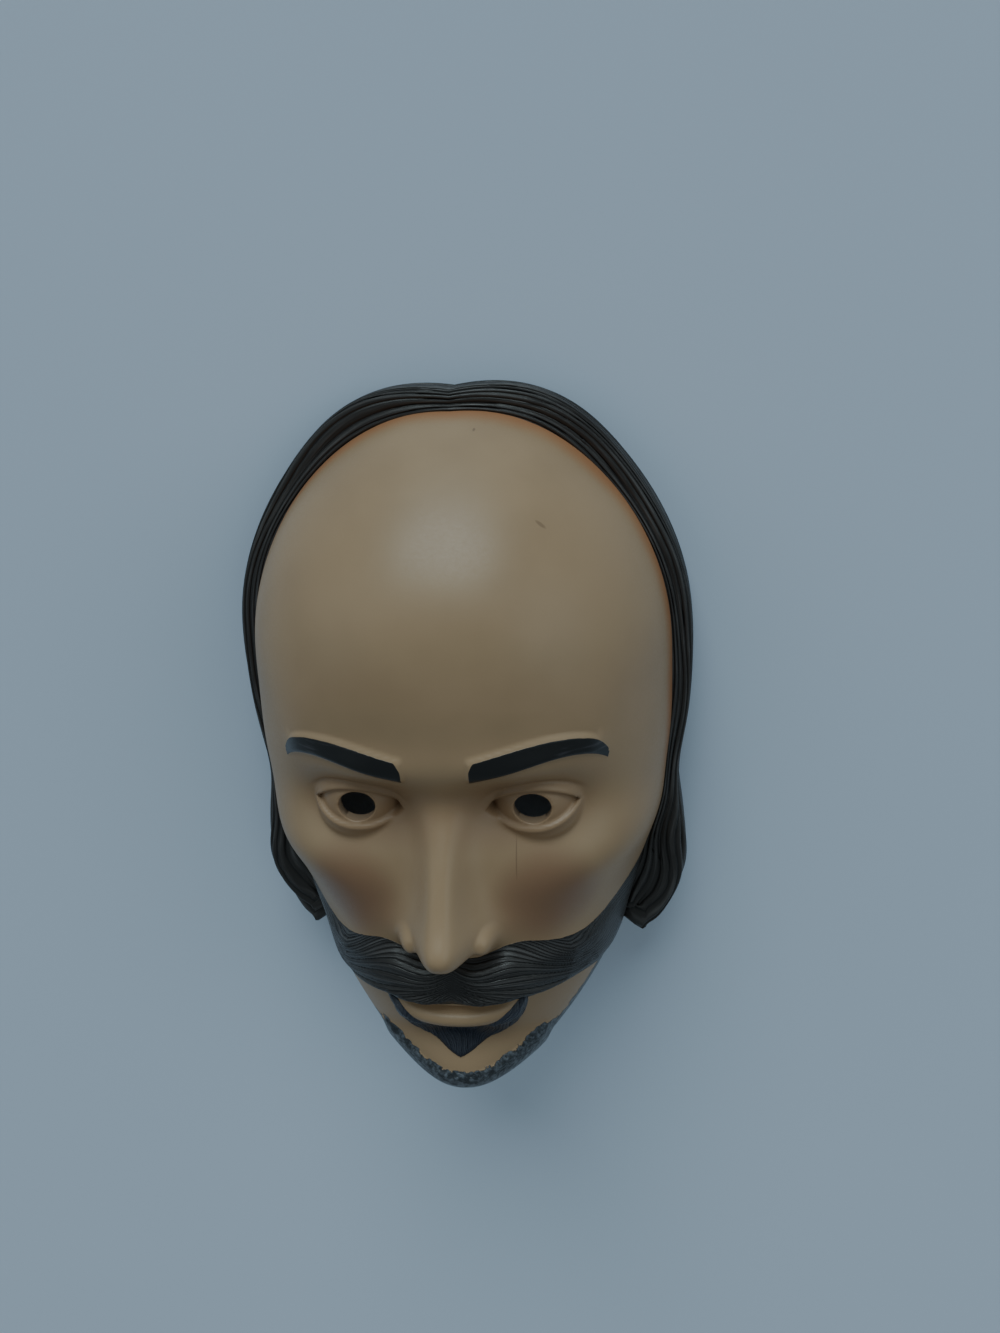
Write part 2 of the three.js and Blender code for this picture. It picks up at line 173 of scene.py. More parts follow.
def head_field(x, y, z):
    w = full_width(y) * round_end(y)
    d = full_depth(y) * end_depth(y)
    p = squareness(y)
    across = np.minimum(np.abs(x) / np.maximum(w, 0.01), 1e3)
    deep = np.minimum(np.abs(z) / np.maximum(d, 0.01), 1e3)
    return np.where((w <= 0.01) | (d <= 0.01), 1, across ** p + deep ** p - 1)


def head_point(ray):
    """Where rays from the middle of the rim plane meet the bare head."""
    inside = np.full(len(ray), 20.0)
    outside = np.full(len(ray), 260.0)
    for _ in range(34):
        r = (inside + outside) / 2
        hit = head_field(ray[:, 0] * r, CENTRE_Y + ray[:, 1] * r, ray[:, 2] * r) < 0
        inside = np.where(hit, r, inside)
        outside = np.where(hit, outside, r)
    point = ray * inside[:, None]
    point[:, 1] += CENTRE_Y
    return point


def head_normal(p):
    step = 0.2
    slopes = []
    for axis in range(3):
        away = np.zeros(3)
        away[axis] = step
        slopes.append(head_field(*(p + away).T) - head_field(*(p - away).T))
    normal = np.stack(slopes, axis=1)
    return normal / np.linalg.norm(normal, axis=1, keepdims=True)


# The nose: a ridge that rises to a rounded tip, with a wing on each side

nose_rise = curve_through(
    (80, 0), (84, 1.5), (86.5, 9), (89, 17.5), (92, 23.5), (96, 26.5), (100, 27), (106, 24.5),
    (115, 19.5), (128, 13), (140, 7), (150, 3), (158, 1), (168, 0))
nose_half = curve_through(
    (80, 9), (88, 11), (97, 12), (105, 10.8), (115, 9.4), (128, 8.6), (140, 9.4), (150, 12.5), (168, 18))


def nose(x, y):
    ridge = nose_rise(y) / (1 + (np.abs(x) / nose_half(y)) ** 3)
    tip = 2 * hump(x, y - NOSE_TIP_Y, 8, 7)
    wing_at = ((np.abs(x) - 13.8) / 6.8) ** 2 + ((y - NOSE_TIP_Y + 3.5) / 7.5) ** 2
    wing = 13 * np.exp(-(wing_at ** 1.5)) * smooth(84, 90, y)
    nostril = 7 * pair(x, 8.2, y - NOSE_TIP_Y + 9.8, 4, 2.4)
    return np.where((y < 80) | (y > 168), 0, blend_max(ridge + tip, wing, 3) - 0.75 - nostril)


# The eye: a ball between two lids, in its socket, with a fold over the upper lid

EYE_HALF = 17.5
BALL_RADIUS = 18
BALL_Z = 75.5
LID = 2.3
SOCKET_REACH = 26


def eye_opening(ex, ey):
    s = np.minimum(np.abs(ex) / EYE_HALF, 1)
    beyond = np.maximum(0, np.abs(ex) - EYE_HALF)
    level = ey - 0.06 * ex
    upper = 8.4 * (1 - s ** 2.2) ** 0.85
    lower = -7 * (1 - s ** 2.4) ** 0.9
    return np.minimum(upper - level, level - lower) - beyond


def eye_layers(x, y, skin):
    ex = np.abs(x) - EYE_X
    ey = y - EYE_Y
    away = ex * ex + ey * ey
    ball = BALL_Z + np.sqrt(np.maximum(0, BALL_RADIUS ** 2 - away))
    lid_ball = BALL_Z + np.sqrt(np.maximum(0, (BALL_RADIUS + LID) ** 2 - away))
    lids = blend_max(skin, lid_ball, 1.5)
    eye = lerp(lids, np.minimum(ball, lids), smooth(-1.2, 1.3, eye_opening(ex, ey)))
    return np.where(away > SOCKET_REACH ** 2, skin, eye)


def lid_folds(x, y):
    ex = np.abs(x) - EYE_X
    level = y - EYE_Y - 0.06 * ex
    over = 12.6 - 0.02 * ex * ex
    under = -10.8 + 0.017 * ex * ex
    reach = smooth(23, 13, np.abs(ex))
    upper = 0.8 * np.exp(-(((level - over) / 1.3) ** 2))
    lower = 0.4 * np.exp(-(((level - under) / 1.4) ** 2))
    return (upper + lower) * reach


# Lips, in relief over the muzzle

def lips(x, y):
    across = np.clip(np.abs(x) / 27, 0, 1)
    line = MOUTH_Y + 0.9 * across * across
    fade = (1 - across ** 2.4) ** 0.7
    lower = 6 * np.sin(np.pi * np.clip((line - y) / 12, 0, 1)) ** 0.8
    upper = 2.4 * np.sin(np.pi * np.clip((y - line) / 10, 0, 1)) ** 0.8
    return (lower + upper) * fade - 2.2 * hump(0, y - line, 1, 1.6) * (1 - across ** 4)


def face_relief(x, y):
    """Forward relief of the whole face."""
    h = 4.2 * pair(x, 28, y - BROW_Y, 21, 9) + 0.8 * hump(x, y - BROW_Y, 15, 12)
    h += 1.6 * pair(x, 30, y - 220, 30, 26)
    h -= 2.2 * hump(x, y - 151, 16, 9)
    h -= 10.5 * pair(x, EYE_X, y - EYE_Y, 22, 14)
    h -= 3 * pair(x, 20, y - 149, 9, 10)
    h += 2.5 * pair(x, 40, y - 113, 19, 15)
    h += 3.5 * hump(x, y - 64, 32, 22)
    h -= 4 * hump(x, y - 36, 24, 7)
    h += 5.5 * hump(x, y - 14, 20, 14)
    return h + nose(x, y) + lips(x, y)


def side_relief(p):
    """Relief square to the head: cheekbones, the hollows under them and the temples."""
    x, y, _ = p.T
    ax = np.abs(x)
    bone = 4.5 * hump(ax - 64, y - 122, 22, 15)
    hollow = 4 * hump(ax - 58, y - 82, 17, 20)
    temple = 2.5 * hump(ax - 84, y - 180, 18, 24)
    return bone - hollow - temple


# Facial hair. Each is told by its depth, the millimetres inside its painted edge, and by
# where a point lies across and along its strands. The edges of the moustache are heights
# by the angle round the head.
NO_PAINT = -9

moustache_top = curve_through(
    (0, 83.5), (6, 82.5), (13, 87.5), (19, 87.3), (26, 83), (33, 79.5), (39, 79), (46, 83),
    (57, 93.5), (68, 97))
moustache_bottom = curve_through(
    (0, 61.5), (10, 58.5), (19, 57.4), (28, 57), (36, 55.5), (46, 50.5), (56, 46), (68, 58))
MOUSTACHE_END = 68
tuft_half = curve_through((26, -1), (28, 3.5), (31, 8), (34, 12.5), (37, 18), (46, 27), (56, 30), (62, 30.5))
beard_top = curve_through((0, 20), (10, 21), (18, 24.5), (26, 29.5), (32, 33.5), (37, 35.5), (50, 36))
jaw_line = curve_through(
    (-90, 82), (-82, 82), (-77, 82), (-72.5, 81), (-69, 74), (-65, 69), (-61, 64), (-56, 57), (-50, 50))
jaw_strip = curve_through((-90, 70), (-76, 45), (-69, 22), (-61, 11), (-50, 6))
brow_line = curve_through((13, 168), (28, 172), (44, 174.5), (56, 173), (63, 168.5), (67, 163))
brow_half = curve_through((13, 4.3), (28, 4.2), (44, 3.8), (56, 3.4), (63, 2.8), (67, 1.6))


def strand_carve(strand, deep, fine):
    """Grooves between strands, with shallower ones that part each strand in three."""
    main = np.abs(np.sin(np.pi * strand)) ** 0.6 - 1
    parted = np.abs(np.sin(3 * np.pi * strand)) ** 0.6 - 1
    return deep * main + fine * parted


def side_angle(p):
    """Angle round the head from the middle line of the face, in degrees."""
    return np.degrees(np.arctan2(np.abs(p[:, 0]), p[:, 2]))


def moustache(p):
    turn = side_angle(p)
    half = (moustache_top(turn) - moustache_bottom(turn)) / 2
    across = (p[:, 1] - moustache_bottom(turn)) / half - 1
    along = MOUSTACHE_PACE * turn
    depth = np.minimum(half * (1 - np.abs(across)), 1.2 * (MOUSTACHE_END + 3 - turn))
    full = lerp(5, 1.6, smooth(15, 50, turn)) * smooth(MOUSTACHE_END + 4, MOUSTACHE_END - 8, turn)
    swell = full * smooth(0, 0.5, 1 - np.abs(across)) * (1 - 0.3 * hump(turn, 0, 3, 1))
    sweep = 0.03 * np.minimum(along, 45) + 0.2 * np.sin(0.13 * along + 2.4 * across)
    strand = 3.2 * across + 2.4 * sweep
    carve = strand_carve(strand, 0.9, 0) * smooth(0, 2.5, depth) * smooth(1, 5, along)
    carve *= smooth(46, 36, turn)
    return depth, swell + carve, strand, along


def tuft(p):
    x, y, _ = p.T
    ax = np.abs(x)
    half = tuft_half(y)
    under = np.minimum(45.5 + 0.017 * ax * ax, 61) - y
    depth = np.minimum((half - ax) * 0.8, under)
    rise = 1.8 * smooth(0, 3, half - ax) * smooth(0, 2.5, under)
    strand = np.degrees(np.arctan2(x, y - 12)) / 7 + 0.25 * np.sin(0.35 * y + 0.2 * ax)
    carve = strand_carve(strand, 0.45, 0.2) * smooth(0, 2, depth)
    return depth, rise + carve, strand, y


def beard(p, bearing):
    """A band round the chin that runs up along the edge of the jaw as a narrow strip."""
    x, y, z = p.T
    ax = np.abs(x)
    below = jaw_line(bearing) - z
    strip = np.minimum(below, jaw_strip(bearing) - below)
    band = np.minimum(beard_top(ax) - y, np.minimum(1.5 * (36 - ax), jaw_strip(bearing) - below))
    depth = np.where(bearing < -50, np.maximum(band, strip), NO_PAINT)
    rise = 1.4 * smooth(0, 2.5, beard_top(ax) - y) * smooth(39, 34, ax)
    return depth, rise


def brow(p):
    x, y, _ = p.T
    ax = np.abs(x)
    off = y - brow_line(ax)
    inner_end = ax - 12.9 - 0.1 * np.maximum(0, off) ** 2
    depth = np.minimum(brow_half(ax) + 0.1 - np.abs(off), np.minimum(inner_end, 66.3 - ax))
    raised = brow_half(ax) + 0.6 - np.abs(off - 0.5)
    rise = 1.3 * smooth(-1, 1, raised) * smooth(11.2, 13.6, ax) * smooth(67.5, 56, ax)
    return depth, rise


# Hair, by the bearing of each ray: 90 is the crown, 0 the temple and -90 the chin

hair_thick = curve_through(
    (-90, 0), (-60, 0), (-53, 0), (-50.3, 0), (-49.5, 2), (-48.5, 13.5), (-47.5, 15.8),
    (-45, 18.3), (-42.5, 20.5), (-40, 21.5), (-33, 21), (-23, 13), (-14, 6.5), (0, 5.5),
    (33, 9), (60, 10), (75, 12.5), (84, 10), (90, 7.5))
hair_line = curve_through(
    (-90, 60), (-70, 50), (-58, 38), (-46, 32), (-30, 33), (0, 31), (33, 26), (60, 20),
    (84, 16), (90, 18))


def chin_lift(bearing):
    return 44 * smooth(-53, -80, bearing)


def lock_share(bearing):
    return smooth(-10, -32, bearing) * smooth(-55, -49, bearing)


def sway_of(bearing, side):
    """How differently the two halves of the hair fall. They meet alike at the crown."""
    return side * smooth(90, 76, bearing)


def lane_share(lane, bearing, side):
    turn = np.radians(bearing)
    sway = sway_of(bearing, side)
    wave = 0.45 * np.sin(3.1 * turn + sway) + 0.9 * lock_share(bearing) * np.sin(8 * turn + 0.6 * sway)
    moved = lane + wave * np.sin(np.pi * lane / LANES)
    return np.clip(moved / LANES, 0, 1) ** 1.2


def ragged_ends(lane, bearing, side):
    return smooth(-30, -50, bearing) * 1.3 * (np.sin(1.9 * lane + side) + np.sin(4.3 * lane))


def hair_strands(lane, share, bearing, side):
    """Outward and upward offsets of the hair, and the place across its strands."""
    lock = lock_share(bearing)
    ragged = ragged_ends(lane, bearing, side)
    thick = np.maximum(0, hair_thick(bearing + ragged))
    is_hair = smooth(-52, -49, bearing + ragged)
    rise = smooth(0, 0.3, share) * lerp(1, 0.95, share)
    fall = 0.1 * bearing + 1.3 * lane + sway_of(bearing, side)
    wander = 0.3 * np.sin(fall) + 0.15 * np.sin(0.23 * bearing + 0.6 * lane)
    main = np.abs(np.sin(np.pi * lane / 2)) ** 0.7
    strand = lane / 2
    parted = np.abs(np.sin(np.pi * (3 * strand + wander))) ** 0.5
    carve = lerp(1.2, 2.6, lock) * (main - 0.7)
    carve += lerp(0.8, 1.3, lock) * (parted - 1) * smooth(0.2, 0.6, main)
    carve *= is_hair * smooth(0, 0.06, share)
    facing = (np.pi / 2) * smooth(0.02, 0.4, share)
    out = thick * rise + carve * np.sin(facing) - is_hair * hump(share, 0, 0.03, 1)
    up = (3 + 4 * lock) * is_hair * np.sin(np.pi * np.clip(share / 0.6, 0, 1)) + carve * np.cos(facing)
    return out, up, strand + wander / 3


def hollow_thick(bearing):
    near = [hair_thick(np.minimum(90, bearing + turn)) for turn in (-6, -3, 0, 3, 6)]
    return np.maximum(0, np.min(near, axis=0))


# From the flat pattern to the surface

def side_of(qx):
    return np.sign(np.where(qx == 0, 1, qx))


def ray_of(qx, qy):
    """A place in the unit disc of the pattern becomes a ray. The disc's edge is the rim."""
    t = np.hypot(qx, qy)
    tilt = t * math.pi / 2
    plan = np.where(t > 1e-9, np.sin(tilt) / np.maximum(t, 1e-9), math.pi / 2)
    x = HALF_WIDTH * qx * plan
    y = (HEAD_HEIGHT / 2) * qy * plan
    bearing = np.degrees(np.arctan2(y, np.abs(x)))
    z = DEPTH * np.cos(tilt) + chin_lift(bearing) * t ** 3
    ray = np.stack([x, y, z], axis=1)
    return ray / np.linalg.norm(ray, axis=1, keepdims=True), bearing


def disc_place(x, y, z):
    """The place in the disc whose ray passes through a point."""
    up = y - CENTRE_Y
    reach = np.maximum(np.hypot(x / HALF_WIDTH, up / (HEAD_HEIGHT / 2)), 1e-9)
    qx = x / HALF_WIDTH / reach
    qy = up / (HEAD_HEIGHT / 2) / reach
    low = np.zeros(len(x))
    high = np.ones(len(x))
    for _ in range(24):
        middle = (low + high) / 2
        ray, _ = ray_of(qx * middle, qy * middle)
        nearer = ray[:, 2] * np.hypot(x, up) > z * np.hypot(ray[:, 0], ray[:, 1])
        low = np.where(nearer, middle, low)
        high = np.where(nearer, high, middle)
    return qx * low, qy * low


def hairline_share(start, end):
    """How far along each mesh line the skin dips to the hair line."""
    low = np.zeros(len(start[0]))
    high = np.full(len(start[0]), 0.97)
    for _ in range(22):
        middle = (low + high) / 2
        ray, bearing = ray_of(lerp(start[0], end[0], middle), lerp(start[1], end[1], middle))
        above = head_point(ray)[:, 2] > hair_line(bearing)
        low = np.where(above, middle, low)
        high = np.where(above, high, middle)
    return low


# The face grid: rows and columns in millimetres, closer together over the features,
# drawn in toward the chin and with its corners rounded off

row_height = curve_through(
    (0, 12), (0.14, 40), (0.31, 66), (0.4, 84), (0.54, 100), (0.66, 132), (0.84, 160), (1, 194))
column_place = curve_through((0, 0), (0.24, 10), (0.47, 21), (0.7, 35), (1, 55))
block_half = curve_through((12, 20), (40, 36), (66, 47), (100, 57), (140, 63), (172, 63), (194, 52))
row_bow = curve_through((12, 10), (40, 5), (84, 0), (160, 0), (194, -5))

# The lines from the grid out to the rim fan from a little below the middle of the disc,
# and they crowd together over the locks
FAN_DROP = 0.22
crowded = curve_through((-90, -90), (-64, -58), (-30, -38), (0, -16), (45, 38), (90, 90))


def block_place(u, v):
    """Places in the disc for the face grid, whose sides run from -1 to 1."""
    row = row_height((v + 1) / 2)
    x = np.sign(u) * column_place(np.abs(u)) * block_half(row) / 55
    y = row + row_bow(row) * u * u
    p = squareness(y)
    across = np.minimum(np.abs(x) / (full_width(y) * round_end(y)), 1)
    z = full_depth(y) * end_depth(y) * (1 - across ** p) ** (1 / p)
    return disc_place(x, y, z)


def rim_place(start, share):
    even = 360 * share - 90
    straight = np.degrees(np.arctan2(start[1] + FAN_DROP, start[0]))
    straight = np.where(straight < -90.001, straight + 360, straight)
    turn = (even + straight) / 2
    angle = np.radians(np.where(turn > 90, 180 - crowded(180 - turn), crowded(turn)))
    return np.cos(angle), np.sin(angle)


def face_height(base, dx, dy):
    """Height of the skin over the bare head, beside a base point."""
    x = base[:, 0] + dx
    y = base[:, 1] + dy
    return eye_layers(x, y, base[:, 2] + face_relief(x, y)) - base[:, 2]


# The inner surface lies under the lowest skin nearby, so that steep places keep their wall,
# and the hair is hollow for most of its thickness
NEARBY = ((0, 0), (4, 0), (-4, 0), (0, 4), (0, -4), (3, 3), (-3, 3), (3, -3), (-3, -3))
HOLLOW_SHARE = 0.85


def carry_out(p, base, out, bearing, side):
    """Moves points away from the middle of the face, and leans the chin forward."""
    turn = np.radians(bearing)
    p[:, 0] += out * np.cos(turn) * side
    p[:, 1] += out * np.sin(turn) + 0.2 * np.maximum(0, 75 - base[:, 2]) * smooth(60, 15, base[:, 1])
    return p


def inner_surface(qx, qy, share):
    ray, bearing = ray_of(qx, qy)
    base = head_point(ray)
    p = base.copy()
    lowest = np.min([face_height(base, dx, dy) for dx, dy in NEARBY], axis=0)
    p[:, 2] += lowest * smooth(20, 50, base[:, 2])
    p += head_normal(base) * (side_relief(base) - WALL)[:, None]
    out = HOLLOW_SHARE * hollow_thick(bearing) * smooth(0.28, 0.6, share)
    return carry_out(p, base, out, bearing, side_of(qx))


def outer_surface(qx, qy, lane, share):
    """Points of the painted surface, with what the paint needs to know at each."""
    ray, bearing = ray_of(qx, qy)
    base = head_point(ray)
    side = side_of(qx)
    p = base.copy()
    forward = smooth(20, 50, base[:, 2])
    p[:, 2] += (face_height(base, 0, 0) - lid_folds(base[:, 0], base[:, 1])) * forward
    lip_depth, lip_rise, lip_strand, lip_along = moustache(base)
    tuft_depth, tuft_rise, tuft_strand, tuft_along = tuft(base)
    beard_depth, beard_rise = beard(base, bearing)
    brow_depth, brow_rise = brow(base)
    relief = side_relief(base) + lip_rise + tuft_rise + beard_rise + brow_rise
    p += head_normal(base) * relief[:, None]
    out, up, hair_strand = hair_strands(lane, share, bearing, side)
    in_hair = lane > 0
    p[:, 2] += np.where(in_hair, up, 0)
    p = carry_out(p, base, np.where(in_hair, out, 0), bearing, side)

    ends = (bearing + ragged_ends(lane, bearing, side) - LOCK_END) * LOCK_PACE
    low = tuft_depth > lip_depth
    strand = np.where(in_hair, hair_strand, np.where(low, tuft_strand, lip_strand))
    hair_along = HAIR_PACE * (90 - bearing)
    along = np.where(in_hair, hair_along, np.where(low, tuft_along, lip_along)) * side
    paint = {
        "hair_depth": np.minimum(hair_line(bearing) - base[:, 2], ends),
        "moustache_depth": lip_depth,
        "tuft_depth": tuft_depth,
        "beard_depth": beard_depth,
        "brow_depth": brow_depth,
        "strand": strand,
        "along": along,
    }
    return p, paint


# Modelling

def grow_edges(mesh, edges):
    """Extrudes open edges, and gives the new corners and the new open edges."""
    grown = bmesh.ops.extrude_edge_only(mesh, edges=edges)["geom"]
    corners = [g for g in grown if isinstance(g, bmesh.types.BMVert)]
    open_edges = [g for g in grown if isinstance(g, bmesh.types.BMEdge) and g.is_boundary]
    return corners, open_edges


def flat_pattern(across, up, rings, halved):
    """A square grid with walls round it. A wall's height counts the rings out to the rim."""
    pattern = bmesh.new()
    bmesh.ops.create_grid(pattern, x_segments=across, y_segments=up, size=1)
    edges = [e for e in pattern.edges if e.is_boundary]
    for _ in range(rings):
        corners, edges = grow_edges(pattern, edges)
        bmesh.ops.translate(pattern, verts=corners, vec=(0, 0, 1))
    if halved:
        floor_edges = [e for e in pattern.edges if max(v.co.z for v in e.verts) < 0.5]
        bmesh.ops.subdivide_edges(pattern, edges=floor_edges, cuts=1, use_grid_fill=True)
    bmesh.ops.recalc_face_normals(pattern, faces=pattern.faces)
    mesh = bpy.data.meshes.new("pattern")
    pattern.to_mesh(mesh)
    pattern.free()
    return mesh


def round_share(u, v):
    """Share of the way round the grid's edge, from the middle of the chin and up the right."""
    across, up = FACE_CELLS
    i = (u + 1) / 2 * across
    j = (v + 1) / 2 * up
    half = across / 2
    whole = 2 * (across + up)
    step = np.select(
        [v < -0.9999, u > 0.9999, v > 0.9999],
        [(i - half) % whole, half + j, half + up + across - i],
        half + 2 * up + across - j)
    return step / whole


def disc_from_pattern(mesh, skirt, hair):
    """Disc places, lanes and hair shares for the corners of a flat pattern."""
    flat = np.empty(3 * len(mesh.vertices))
    mesh.vertices.foreach_get("co", flat)
    u, v, ring = flat.reshape(-1, 3).T
    ring = np.round(ring)
    qx, qy = block_place(u, v)
    walled = ring > 0
    start = (qx[walled], qy[walled])
    share_round = round_share(u[walled], v[walled])
    end = rim_place(start, share_round)
    column = np.round(share_round * 2 * sum(FACE_CELLS)).astype(int)
    first = ring[walled] == 1
    line_of = np.zeros(2 * sum(FACE_CELLS))
    line_of[column[first]] = hairline_share(
        (start[0][first], start[1][first]), (end[0][first], end[1][first]))
    line = line_of[column]
    lane = np.maximum(0, LANES * (ring[walled] - skirt) / hair)
    end_bearing = np.degrees(np.arctan2(end[1] * HEAD_HEIGHT / 2, np.abs(end[0]) * HALF_WIDTH))
    share = lane_share(lane, end_bearing, np.sign(end[0]))
    reach = np.where(lane > 0, lerp(line, 1, share), line * ring[walled] / skirt)
    qx[walled] = lerp(start[0], end[0], reach)
    qy[walled] = lerp(start[1], end[1], reach)
    lanes = np.zeros(len(u))
    lanes[walled] = lane
    shares = np.zeros(len(u))
    shares[walled] = np.where(lane > 0, share, 0)
    return qx, qy, lanes, shares


PAINT_NAMES = (
    "hair_depth", "moustache_depth", "tuft_depth", "beard_depth", "brow_depth", "strand", "along")


def write_surface(mesh, points, paint):
    mesh.vertices.foreach_set("co", points.ravel())
    for name in PAINT_NAMES:
        values = mesh.attributes.new(name, "FLOAT", "POINT")
        values.data.foreach_set("value", paint[name].astype(np.float32))


def ellipse_reach(co, side, grow):
    """0 in the middle of a pupil and 1 on its edge, grown by some millimetres."""
    return math.hypot((co.x - side * EYE_X) / (PUPIL_RX + grow), (co.y - PUPIL_Y) / (PUPIL_RY + grow))


def edges_round_pupil(edges, side):
    return [e for e in edges if e.is_boundary and ellipse_reach(e.verts[0].co, side, 0) < 1.5]


def set_on_ellipse(corner, side, grow):
    reach = ellipse_reach(corner.co, side, grow)
    corner.co.x = side * EYE_X + (corner.co.x - side * EYE_X) / reach
    corner.co.y = PUPIL_Y + (corner.co.y - PUPIL_Y) / reach


def pierce(shell, side, grow):
    """Cuts an oval hole in a surface and gives the edges around it."""
    near = [v for v in shell.verts if ellipse_reach(v.co, side, grow) < 1.6]
    on = set()
    for corner in near:
        for edge in corner.link_edges:
            here = ellipse_reach(edge.verts[0].co, side, grow) - 1
            there = ellipse_reach(edge.verts[1].co, side, grow) - 1
            if here * there < 0 and not on & set(edge.verts):
                on.add(edge.verts[0] if abs(here) < abs(there) else edge.verts[1])
    for corner in on:
        set_on_ellipse(corner, side, grow)
    bmesh.ops.connect_verts(shell, verts=list(on))
    inside = [v for v in near if v not in on and ellipse_reach(v.co, side, grow) < 1]
    bmesh.ops.delete(shell, geom=inside, context="VERTS")
    loop = edges_round_pupil(shell.edges, side)
    for corner in {v for e in loop for v in e.verts}:
        set_on_ellipse(corner, side, grow)
    return loop


def shrink_to_box(shell):
    """The fine surface keeps to the solid's own box."""
    co = np.array([v.co[:] for v in shell.verts])
    own_low = co.min(axis=0)
    own_high = co.max(axis=0)
    low, high = np.array(cad_box[0]) * 1000, np.array(cad_box[1]) * 1000
    placed = (low + (co - own_low) * (high - low) / (own_high - own_low)) / 1000
    for corner, place in zip(shell.verts, placed):
        corner.co = place


def painted_surface():
    """The outer surface, with its rim and with the open edges of the two pupils."""
    mesh = flat_pattern(*FACE_CELLS, OUTER_SKIRT + OUTER_HAIR, halved=True)
    points, paint = outer_surface(*disc_from_pattern(mesh, OUTER_SKIRT, OUTER_HAIR))
    write_surface(mesh, points, paint)
    outer = bmesh.new()
    outer.from_mesh(mesh)
    bpy.data.meshes.remove(mesh)
    rim = [e for e in outer.edges if e.is_boundary]
    pupils = []
    for side in SIDES:
        loop = pierce(outer, side, PUPIL_LIP)
        for grow, drop in PUPIL_EDGE:
            corners, loop = grow_edges(outer, loop)
            for corner in corners:
                set_on_ellipse(corner, side, grow)
                corner.co.z -= drop
        pupils.append(loop)
    return outer, rim, pupils


def bare_surface():
    """The mesh of the inner surface. The edge of each pupil in it is level."""
    mesh = flat_pattern(*FACE_CELLS, INNER_SKIRT + INNER_HAIR, halved=False)
    qx, qy, _, share = disc_from_pattern(mesh, INNER_SKIRT, INNER_HAIR)
    points = inner_surface(qx, qy, share)
    write_surface(mesh, points, {name: np.full(len(points), NO_PAINT) for name in PAINT_NAMES})
    inner = bmesh.new()
    inner.from_mesh(mesh)
    for side in SIDES:
        bmesh.ops.subdivide_edges(inner, edges=pierce(inner, side, 0), cuts=1)
        corners = {v for e in edges_round_pupil(inner.edges, side) for v in e.verts}
        level = sum(v.co.z for v in corners) / len(corners)
        for corner in corners:
            set_on_ellipse(corner, side, 0)
            corner.co.z = level
    for face in inner.faces:
        face.material_index = 1
    inner.to_mesh(mesh)
    inner.free()
    return mesh


def mask_shell():
    """Both surfaces, joined by a wall along the rim and round each pupil."""
    shell, rim, pupils = painted_surface()
    outer_edges = set(shell.edges)
    inner_mesh = bare_surface()
    shell.from_mesh(inner_mesh)
    bpy.data.meshes.remove(inner_mesh)

    inner_open = [e for e in shell.edges if e.is_boundary and e not in outer_edges]
    inner_pupils = [edges_round_pupil(inner_open, side) for side in SIDES]
    inner_rim = [e for e in inner_open if not any(e in loop for loop in inner_pupils)]
    walls = bmesh.ops.bridge_loops(shell, edges=rim + inner_rim)["faces"]
    for loop, inner_loop in zip(pupils, inner_pupils):
        walls += bmesh.ops.bridge_loops(shell, edges=loop + inner_loop)["faces"]

    for face in walls:
        face.material_index = 1
    for face in shell.faces:
        face.smooth = True
    bmesh.ops.recalc_face_normals(shell, faces=shell.faces)
    for edge in shell.edges:
        slots = {face.material_index for face in edge.link_faces}
        edge.smooth = len(slots) == 1 and edge.calc_face_angle(0) < SHARP_ANGLE
    shrink_to_box(shell)
    mesh = bpy.data.meshes.new("mask_shell")
    shell.to_mesh(mesh)
    shell.free()
    piece = bpy.data.objects.new("mask_shell", mesh)
    bpy.context.scene.collection.objects.link(piece)
    return piece


# Materials

def colour(red, green, blue):
    """An sRGB colour from 0 to 255 as the linear colour that a shader takes."""
    parts = [c / 255 for c in (red, green, blue)]
    return tuple(c / 12.92 if c <= 0.04045 else ((c + 0.055) / 1.055) ** 2.4 for c in parts) + (1,)


SKIN = colour(167, 133, 97)
SKIN_SHADE = colour(159, 126, 91)
HAIRLINE_TINT = colour(178, 104, 58)
BLUSH = colour(126, 84, 58)
# Painted shade: a darker brown over the eye sockets and between the brows
SOCKET_PAINTED_SHADE = colour(146, 108, 76)
WARM_SHEEN = (1, 0.9, 0.76, 1)
HAIR = colour(43, 38, 35)
HAIR_BRUSHED = colour(82, 76, 71)
# Painted shade in the fine grooves between strands of hair
HAIR_GROOVE_SHADE = colour(14, 13, 13)
TUFT = colour(46, 48, 56)
BEARD = colour(44, 46, 48)
BEARD_BRUSHED = colour(96, 98, 100)
BROW = colour(16, 14, 14)
# Lighter streaks on the outer brows: painted sheen, and scuffs in the paint
BROW_SCUFF_AND_SHEEN = colour(70, 64, 66)
BARE = colour(172, 140, 108)
BARE_SHADE = colour(158, 126, 96)
MARK = colour(92, 66, 46)
FLOOR = colour(212, 217, 222)
FLOOR_SHADE = colour(205, 210, 216)

# Small marks in the skin paint: place across and up, half width, half height, slant and strength
SMALL_MARKS = (
    (0.0283, -0.0245, 0.00035, 0.0105, 0, 0.4),
    (0.0400, 0.1030, 0.0024, 0.0008, 0.7, 0.4),
    (0.0121, 0.1336, 0.0007, 0.0006, 0, 0.5),
)


